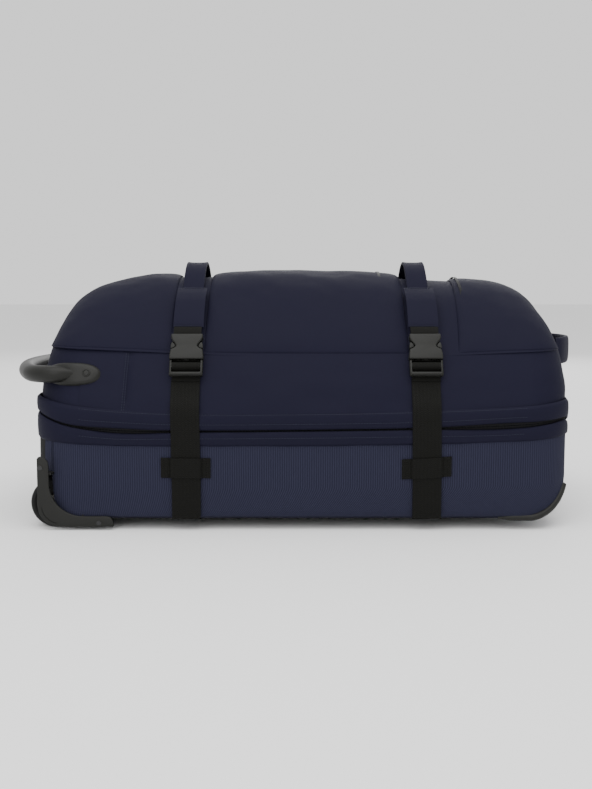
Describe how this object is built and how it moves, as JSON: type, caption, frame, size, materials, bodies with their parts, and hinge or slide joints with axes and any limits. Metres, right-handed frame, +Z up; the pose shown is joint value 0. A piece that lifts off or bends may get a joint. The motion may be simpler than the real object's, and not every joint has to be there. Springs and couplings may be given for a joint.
{
  "type": "rolling_duffel_bag",
  "caption": "Large wheeled duffel lying on its back: rigid base tub, zipped domed lid with strap channels, side-release buckles, moulded grab handle and telescopic trolley",
  "frame": {"origin": "on the ground under the middle of the whole bag, as it lies on its back", "axes": "+X from the wheel end to the top end, -Y the side with the buckles, +Z up"},
  "size_m": [0.8131, 0.4062, 0.3605],
  "materials": {
    "navy_fabric": "smooth coated polyester, matt with a faint sheen",
    "navy_ribbed_fabric": "ribbed polyester, matt",
    "black_fabric": "coated ballistic weave, matt",
    "black_webbing": "woven polypropylene webbing",
    "black_plastic": "fine-textured injection moulding, satin",
    "board": "extruded polypropylene sheet",
    "tyre_rubber": "polyurethane tread, matt",
    "anodised_tube": "clear anodised, satin",
    "steel": "zinc plated, satin",
    "zip_coil": "nylon coil on woven tape",
    "zip_metal": "black lacquered zinc"
  },
  "bodies": {
    "base": {"back_panel": "black_fabric", "side_panels": "navy_ribbed_fabric", "wheel_end_panel": "black_fabric", "top_end_panel": "navy_ribbed_fabric", "lower_zip_flap": "navy_fabric", "zip_coil_lower": "zip_coil", "frame_sheet": "board", "trolley_tray": "black_plastic", "outer_tubes": "anodised_tube", "tube_brackets": "black_plastic", "skid_rails": "black_plastic", "corner_guards": "black_plastic", "wheel_housings": "black_plastic", "wheel_axles": "steel", "wheel_bearings": "steel", "base_screws": "steel", "strap_keepers": "black_webbing", "compression_straps": "black_webbing", "far_straps_lower": "black_webbing", "buckle_frame_wheel": "black_plastic", "buckle_frame_top": "black_plastic", "heel_cheeks": "navy_ribbed_fabric"},
    "wheel_near": {"tyre_near": "tyre_rubber", "hub_near": "black_plastic"},
    "wheel_far": {"tyre_far": "tyre_rubber", "hub_far": "black_plastic"},
    "trolley_middle": {"middle_tubes": "anodised_tube"},
    "trolley_inner": {"inner_tubes": "anodised_tube", "trolley_grip": "black_plastic"},
    "trolley_button": {"release_button": "black_plastic"},
    "prong_wl": {"prong_wheel_left": "black_plastic"},
    "prong_wr": {"prong_wheel_right": "black_plastic"},
    "prong_tl": {"prong_top_left": "black_plastic"},
    "prong_tr": {"prong_top_right": "black_plastic"},
    "slider_near": {"zip_slider_near": "zip_metal"},
    "slider_far": {"zip_slider_far": "zip_metal"},
    "pull_near": {"zip_pull_near": "zip_metal"},
    "pull_far": {"zip_pull_far": "zip_metal"},
    "lid": {"lid_sides": "navy_fabric", "lid_ends": "navy_fabric", "upper_zip_flap": "navy_fabric", "zip_coil_upper": "zip_coil", "front_panel": "navy_fabric", "wheel_end_pocket": "navy_fabric", "middle_pocket": "navy_fabric", "top_end_pocket": "navy_fabric", "pocket_zip_coils": "zip_coil", "cross_strap_wheel": "navy_fabric", "cross_strap_top": "navy_fabric", "anchor_tabs": "navy_fabric", "socket_webbing": "black_webbing", "buckle_socket_wheel": "black_plastic", "buckle_socket_top": "black_plastic", "far_straps_upper": "black_webbing", "moulded_handle": "black_plastic", "handle_rivets": "steel", "top_end_handle": "navy_fabric"},
    "pocket_slider_a": {"pocket_slider_wheel": "zip_metal"},
    "pocket_slider_b": {"pocket_slider_middle": "zip_metal"},
    "pocket_slider_c": {"pocket_slider_top": "zip_metal"}
  },
  "joints": [
    {"name": "lid_hinge", "type": "hinge", "parent": "base", "child": "lid", "pos_m": [0.009, 0.2015, 0.137], "axis": [-1, 0, 0], "range_deg": [0, 150]},
    {"name": "wheel_near_spin", "type": "hinge", "parent": "base", "child": "wheel_near", "pos_m": [-0.324, -0.167, 0.033], "axis": [0, 1, 0], "continuous": true},
    {"name": "wheel_far_spin", "type": "hinge", "parent": "base", "child": "wheel_far", "pos_m": [-0.324, 0.167, 0.033], "axis": [0, 1, 0], "continuous": true},
    {"name": "trolley_lower_stage", "type": "slide", "parent": "base", "child": "trolley_middle", "axis": [1, 0, 0], "range_m": [0, 0.24]},
    {"name": "trolley_upper_stage", "type": "slide", "parent": "trolley_middle", "child": "trolley_inner", "axis": [1, 0, 0], "range_m": [0, 0.24]},
    {"name": "trolley_button_press", "type": "slide", "parent": "trolley_inner", "child": "trolley_button", "axis": [-1, 0, 0], "range_m": [0, 0.004], "stiffness_N_per_m": 600},
    {"name": "prong_wl_squeeze", "type": "hinge", "parent": "base", "child": "prong_wl", "pos_m": [-0.157, -0.1757, 0.22499], "axis": [0, 0.8829, -0.4695], "range_deg": [0, 9], "stiffness_Nm_per_rad": 0.3},
    {"name": "prong_wr_squeeze", "type": "hinge", "parent": "base", "child": "prong_wr", "pos_m": [-0.135, -0.1757, 0.22499], "axis": [0, -0.8829, 0.4695], "range_deg": [0, 9], "stiffness_Nm_per_rad": 0.3},
    {"name": "prong_tl_squeeze", "type": "hinge", "parent": "base", "child": "prong_tl", "pos_m": [0.161, -0.1757, 0.22499], "axis": [0, 0.8829, -0.4695], "range_deg": [0, 9], "stiffness_Nm_per_rad": 0.3},
    {"name": "prong_tr_squeeze", "type": "hinge", "parent": "base", "child": "prong_tr", "pos_m": [0.183, -0.1757, 0.22499], "axis": [0, -0.8829, 0.4695], "range_deg": [0, 9], "stiffness_Nm_per_rad": 0.3},
    {"name": "zip_near_run", "type": "slide", "parent": "base", "child": "slider_near", "axis": [0, -1, 0], "range_m": [0, 0.11]},
    {"name": "zip_near_pull", "type": "hinge", "parent": "slider_near", "child": "pull_near", "pos_m": [0.3762, -0.009, 0.137], "axis": [0, -1, 0], "range_deg": [0, 150]},
    {"name": "zip_far_run", "type": "slide", "parent": "base", "child": "slider_far", "axis": [0, 1, 0], "range_m": [0, 0.11]},
    {"name": "zip_far_pull", "type": "hinge", "parent": "slider_far", "child": "pull_far", "pos_m": [0.3762, 0.009, 0.137], "axis": [0, -1, 0], "range_deg": [0, 150]},
    {"name": "pocket_zip_a_run", "type": "hinge", "parent": "lid", "child": "pocket_slider_a", "pos_m": [-0.196, 0, 0.211], "axis": [1, 0, 0], "range_deg": [0, 66]},
    {"name": "pocket_zip_b_run", "type": "hinge", "parent": "lid", "child": "pocket_slider_b", "pos_m": [0.12, 0, 0.211], "axis": [1, 0, 0], "range_deg": [0, 66]},
    {"name": "pocket_zip_c_run", "type": "hinge", "parent": "lid", "child": "pocket_slider_c", "pos_m": [0.234, 0, 0.211], "axis": [1, 0, 0], "range_deg": [0, 66]}
  ]
}
